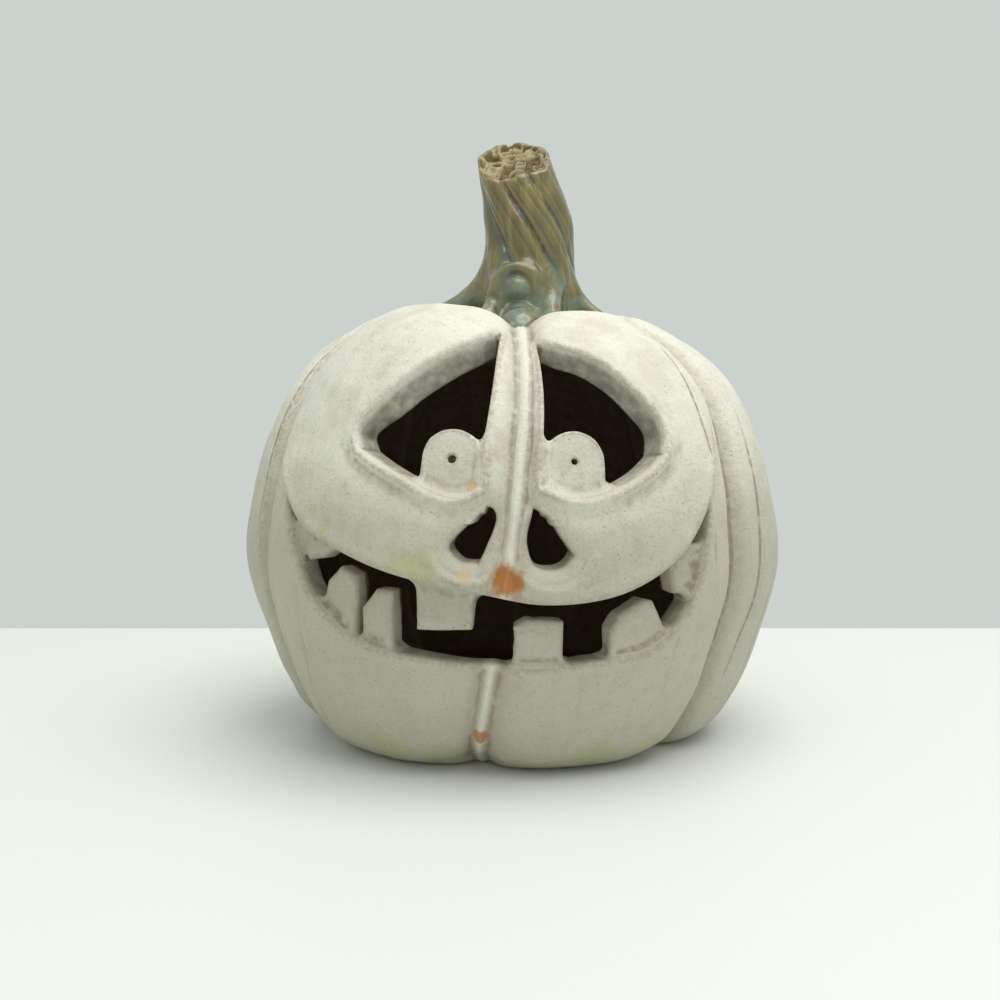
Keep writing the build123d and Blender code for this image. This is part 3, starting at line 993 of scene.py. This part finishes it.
class Nodes:
    """Small builder for one material's node tree."""

    def __init__(self, name):
        self.material = bpy.data.materials.new(name)
        self.material.use_nodes = True
        self.tree = self.material.node_tree
        self.shader = self.tree.nodes["Principled BSDF"]
        self.place = self.node("ShaderNodeNewGeometry", "Position", {})

    def put(self, socket, value):
        if isinstance(value, bpy.types.NodeSocket):
            self.tree.links.new(value, socket)
        else:
            socket.default_value = value

    def node(self, kind, output, inputs, **settings):
        """Adds a node with its settings and inputs, and gives one of its outputs."""
        node = self.tree.nodes.new(kind)
        for key, value in settings.items():
            setattr(node, key, value)
        for key, value in inputs.items():
            self.put(node.inputs[key], value)
        return node.outputs[output]

    def math(self, operation, a, b=0.0, clamp=False):
        return self.node("ShaderNodeMath", 0, {0: a, 1: b}, operation=operation, use_clamp=clamp)

    def times(self, a, b):
        return self.math("MULTIPLY", a, b)

    def ramp(self, value, start, end):
        """0 below start, 1 above end, smooth between them."""
        inputs = {"Value": value, "From Min": start, "From Max": end}
        return self.node("ShaderNodeMapRange", "Result", inputs, interpolation_type="SMOOTHSTEP")

    def mix(self, share, a, b):
        return self.node("ShaderNodeMix", "Result", {"Factor": share, "A": a, "B": b}, data_type="RGBA")

    def noise(self, size, detail=2.0, stretch=(1, 1, 1), roughness=0.5):
        """Noise with features of about a size in millimetres."""
        scale = [s / (size * MM) for s in stretch]
        place = self.node("ShaderNodeVectorMath", 0, {0: self.place, 1: scale}, operation="MULTIPLY")
        inputs = {"Vector": place, "Scale": 1.0, "Detail": detail, "Roughness": roughness}
        return self.node("ShaderNodeTexNoise", "Fac", inputs)

    def height(self):
        return self.node("ShaderNodeSeparateXYZ", "Z", {0: self.place})

    def specks(self, size, reach):
        """Sharp dots about a spacing in millimetres apart, most of them missing."""
        inputs = {0: self.place, "Scale": 1 / (size * MM)}
        place = self.node("ShaderNodeVectorMath", 0, inputs, operation="SCALE")
        cells = {"Vector": place, "Scale": 1.0}
        distance = self.node("ShaderNodeTexVoronoi", "Distance", cells)
        chance = self.node("ShaderNodeSeparateColor", 0, {0: distance.node.outputs["Color"]})
        limit = self.times(self.ramp(chance, 0.45, 1.0), reach)
        return self.ramp(self.math("SUBTRACT", distance, limit), 0.06, -0.04)

    def attribute(self, name):
        return self.node("ShaderNodeAttribute", "Fac", {}, attribute_name=name)

    def spot(self, place, radius, ragged):
        """1 within a radius in millimetres of a place, with a ragged edge."""
        ends = {0: self.place, 1: [v * MM for v in place]}
        gap = self.node("ShaderNodeVectorMath", "Value", ends, operation="DISTANCE")
        rough = self.times(self.math("SUBTRACT", self.noise(ragged, 4), 0.5), radius * 1.1 * MM)
        edge = self.math("ADD", gap, rough)
        return self.math("SUBTRACT", 1.0, self.ramp(edge, 0.6 * radius * MM, 1.05 * radius * MM))

    def bump(self, height, distance, below=None):
        inputs = {"Height": height, "Distance": distance * MM, "Strength": 1.0}
        if below is not None:
            inputs["Normal"] = below
        return self.node("ShaderNodeBump", "Normal", inputs)

    def finish(self, colour, roughness, normal, specular, coat=0.0, coat_roughness=0.1):
        self.put(self.shader.inputs["Base Color"], colour)
        self.put(self.shader.inputs["Roughness"], roughness)
        self.put(self.shader.inputs["Normal"], normal)
        self.shader.inputs["Specular IOR Level"].default_value = specular
        self.put(self.shader.inputs["Coat Weight"], coat)
        self.shader.inputs["Coat Roughness"].default_value = coat_roughness
        return self.material


PALE = (0.80, 0.775, 0.685, 1)
WARM = (0.71, 0.67, 0.565, 1)
# Browner glaze low on the body, which also stands in for the shade on its lower, downward-facing parts
LOW_GLAZE_AND_PAINTED_SHADE = (0.48, 0.455, 0.36, 1)
GREY = (0.44, 0.415, 0.35, 1)
BREAK = (0.34, 0.28, 0.20, 1)
BROWN = (0.22, 0.165, 0.105, 1)
# Colour of the cut clay, darkened to stand in for the shade on the openings' cut faces
CUT_CLAY_AND_PAINTED_SHADE = (0.25, 0.23, 0.18, 1)
SHELL_CUT_SHADE_SHARE = 0.8
SET_PIECE_CUT_SHADE_SHARE = 0.15
INSIDE = (0.14, 0.075, 0.025, 1)
INSIDE_LIGHT = (0.24, 0.135, 0.05, 1)
RUST = (0.45, 0.175, 0.04, 1)
OCHRE = (0.58, 0.40, 0.21, 1)
MOSS = (0.44, 0.46, 0.18, 1)
SPECK = (0.13, 0.09, 0.06, 1)
# Stained places: centre, radius, colour and how strong it is
STAINS = [
    ((-2.0, -84, 61), 5.4, RUST, 0.95), ((-14, -84, 62), 2.8, OCHRE, 0.45), ((14, -84, 60), 3.0, OCHRE, 0.3),
    ((-12, -79, 87), 2.2, OCHRE, 0.8), ((-9.5, -66, 13), 2.8, RUST, 0.8),
    ((-25, -82, 65), 6.0, MOSS, 0.5), ((-32, -80, 66), 5.0, MOSS, 0.45), ((-52, -66, 74), 4.5, MOSS, 0.6),
    ((-56, -62, 78), 4.0, MOSS, 0.5), ((-38, -58, 5), 9, MOSS, 0.45), ((-20, -62, 4), 8, MOSS, 0.45),
    ((24, -64, 4), 9, MOSS, 0.45), ((40, -56, 4), 8, MOSS, 0.4),
]


def glaze_material(name, cut_shade_share, stains):
    """Off-white matt glaze over brown stoneware, which shows on edges, in creases, in specks and inside,
    with painted shade on the cut faces of the openings and towards the bottom.
    """
    n = Nodes(name)
    depth = n.attribute("depth")
    bend = n.attribute("bend")
    groove = n.attribute("groove")
    vein = n.attribute("vein")
    height = n.height()
    clouds = n.noise(14, 5, roughness=0.6)
    colour = n.mix(n.ramp(clouds, 0.44, 0.66), PALE, WARM)
    # Darker towards the bottom: partly the glaze's own tone and partly painted shade of the lower parts
    low = n.ramp(n.math("ADD", height, n.times(n.noise(30, 3), 24 * MM)), 125 * MM, 72 * MM)
    colour = n.mix(n.times(low, 0.85), colour, LOW_GLAZE_AND_PAINTED_SHADE)
    streaks = n.noise(3.4, 5, (1, 1, 0.2), 0.62)
    grey_share = n.math("ADD", n.times(low, 0.65), 0.35)
    streaked = n.times(n.ramp(streaks, 0.50, 0.72), 0.45)
    colour = n.mix(n.times(streaked, grey_share), colour, GREY)
    blotches = n.times(n.ramp(n.noise(6.5, 6, roughness=0.7), 0.52, 0.70), 0.55)
    colour = n.mix(n.times(blotches, grey_share), colour, GREY)
    stippled = n.times(n.ramp(n.noise(0.9, 4, roughness=0.8), 0.42, 0.72), 0.62)
    colour = n.mix(n.times(stippled, grey_share), colour, GREY)
    rubbed = n.times(n.ramp(groove, 0.12, 0.9), n.ramp(n.noise(2.6, 5, roughness=0.65), 0.22, 0.60))
    colour = n.mix(n.times(rubbed, 0.62), colour, BREAK)
    hollow = n.ramp(n.times(bend, -1.0), 0.05, 0.55)
    creased = n.times(hollow, n.ramp(n.noise(2.5, 4), 0.20, 0.58))
    colour = n.mix(n.times(creased, 0.70), colour, BROWN)
    edges = n.times(n.ramp(bend, 0.22, 0.95), n.ramp(n.noise(1.5, 5, roughness=0.7), 0.36, 0.62))
    colour = n.mix(n.times(edges, 0.55), colour, BREAK)
    # Painted shade: the cut faces get darker the deeper they run in from the outer surface, over the cut
    # clay's own colour
    cut = n.times(n.ramp(depth, 1.2, 3.5), n.ramp(n.noise(3.5, 5), 0.05, 0.75))
    colour = n.mix(n.times(cut, cut_shade_share), colour, CUT_CLAY_AND_PAINTED_SHADE)
    colour = n.mix(n.times(vein, 0.8), colour, PALE)
    for place, radius, tint, share in stains:
        colour = n.mix(n.times(n.spot(place, radius, 3.0), share), colour, tint)
    for size, reach, share in ((1.9, 0.14, 0.45), (0.85, 0.24, 0.36)):
        colour = n.mix(n.times(n.specks(size, reach), share), colour, SPECK)
    inside = n.attribute("inside")
    colour = n.mix(inside, colour, n.mix(n.noise(6, 4), INSIDE, INSIDE_LIGHT))
    pitted = n.bump(n.noise(0.9, 4, roughness=0.7), 0.28)
    normal = n.bump(n.noise(4.5, 3), 0.45, below=pitted)
    roughness = n.math("ADD", n.times(n.noise(6, 3), 0.3), 0.40)
    roughness = n.math("ADD", roughness, n.times(inside, 0.6), clamp=True)
    return n.finish(colour, roughness, normal, 0.32)


OLIVE = (0.145, 0.128, 0.050, 1)
TAN = (0.265, 0.212, 0.08, 1)
UMBER = (0.135, 0.082, 0.028, 1)
TEAL = (0.075, 0.125, 0.10, 1)
MILKY = (0.34, 0.42, 0.34, 1)
CREAM = (0.37, 0.31, 0.165, 1)
PIT = (0.135, 0.088, 0.026, 1)


def stem_material():
    """Glossy olive glaze that runs brown on the ropes and teal where it pools."""
    n = Nodes("stem_glaze_finish")
    rib = n.attribute("rib")
    end = n.attribute("end")
    bend = n.attribute("bend")
    root = n.attribute("root")
    streaks = n.noise(3.0, 5, (1, 1, 0.16), 0.6)
    colour = n.mix(n.ramp(streaks, 0.42, 0.70), OLIVE, TAN)
    colour = n.mix(n.times(n.ramp(n.noise(5, 4, (1, 1, 0.3)), 0.48, 0.70), 0.65), colour, UMBER)
    pooled = n.math("SUBTRACT", 1.0, n.ramp(rib, 0.25, 0.85))
    pooled = n.times(pooled, n.ramp(n.noise(7, 3), 0.36, 0.56))
    colour = n.mix(n.times(pooled, 0.85), colour, TEAL)
    low = n.times(root, n.ramp(n.noise(6, 3), 0.38, 0.56))
    colour = n.mix(n.times(low, 0.72), colour, n.mix(n.noise(2.5, 3), TEAL, MILKY))
    pool = n.spot(POOL, POOL_RADIUS + 1.2, 4.0)
    colour = n.mix(n.times(pool, 0.8), colour, n.mix(n.noise(2, 3), TEAL, MILKY))
    colour = n.mix(n.times(n.ramp(bend, 0.12, 0.7), 0.6), colour, TAN)
    hollow = n.ramp(n.times(bend, -1.0), 0.10, 0.7)
    colour = n.mix(n.times(hollow, 0.5), colour, UMBER)
    fibre = n.mix(n.ramp(n.attribute("pit"), 0.18, 0.75), CREAM, PIT)
    colour = n.mix(end, colour, fibre)
    fine = n.bump(n.noise(0.8, 3, (1, 1, 0.4)), 0.08)
    normal = n.bump(streaks, 0.3, below=fine)
    roughness = n.math("ADD", n.times(end, 0.45), n.times(n.noise(5, 3), 0.22), clamp=True)
    coat = n.times(n.math("SUBTRACT", 1.0, end), 0.3)
    return n.finish(colour, n.math("ADD", roughness, 0.10), normal, 0.5, coat, 0.05)


# Camera, light and floor --------
CAMERA_PLACE = (-4.0, -460.0, 123.2)
CAMERA_DOWN = 6.0
LENS = 50.0


def make_camera():
    camera = bpy.data.objects.new("camera", bpy.data.cameras.new("camera"))
    link(camera)
    camera.location = [v * MM for v in CAMERA_PLACE]
    camera.rotation_euler = (math.radians(90 - CAMERA_DOWN), 0, 0)
    camera.data.lens = LENS
    camera.data.sensor_width = 36
    camera.data.clip_start = 0.01
    bpy.context.scene.camera = camera


KEY_PLACE = (0.21, -0.15, 1.0)
KEY_TARGET = (0, 0, 0.08)
KEY_SIZE = 0.9
KEY_POWER = 8.0
KEY_COLOUR = (1, 0.985, 0.95)
STUDIO_COLOUR = (0.60, 0.645, 0.615, 1)
FLOOR_COLOUR = (0.79, 0.80, 0.775, 1)


def make_lights():
    light = bpy.data.lights.new("key", "AREA")
    light.size = KEY_SIZE
    light.energy = KEY_POWER
    light.color = KEY_COLOUR
    lamp = bpy.data.objects.new("key", light)
    link(lamp)
    lamp.location = KEY_PLACE
    lamp.rotation_euler = (Vector(KEY_TARGET) - Vector(KEY_PLACE)).to_track_quat("-Z", "Y").to_euler()
    world = bpy.data.worlds.new("studio")
    bpy.context.scene.world = world
    world.use_nodes = True
    background = world.node_tree.nodes["Background"]
    background.inputs["Color"].default_value = STUDIO_COLOUR
    background.inputs["Strength"].default_value = 1.0
    bpy.context.scene.view_settings.view_transform = "Standard"


def make_floor():
    mesh = bpy.data.meshes.new("floor")
    half, front, back, thick = 1.2, -1.4, 0.158, 0.03
    edit = bmesh.new()
    bmesh.ops.create_cube(edit, size=1)
    for v in edit.verts:
        v.co.x *= 2 * half
        v.co.y = back if v.co.y > 0 else front
        v.co.z = 0 if v.co.z > 0 else -thick
    edit.to_mesh(mesh)
    edit.free()
    floor = bpy.data.objects.new("floor", mesh)
    link(floor)
    material = bpy.data.materials.new("floor_paint")
    material.use_nodes = True
    shader = material.node_tree.nodes["Principled BSDF"]
    shader.inputs["Base Color"].default_value = FLOOR_COLOUR
    shader.inputs["Roughness"].default_value = 0.5
    mesh.materials.append(material)


# Assembly --------
make_camera()
make_lights()
make_floor()
shell = make_shell()
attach(shell, BODY)
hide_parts("pumpkin_shell")
shell.data.materials.append(glaze_material("shell_glaze_finish", SHELL_CUT_SHADE_SHARE, STAINS))
set_glaze = glaze_material("set_piece_glaze_finish", SET_PIECE_CUT_SHADE_SHARE, STAINS[3:4])
for piece in make_set_pieces():
    piece.data.materials.append(set_glaze)
stem = make_stem()
stem.data.materials.append(stem_material())
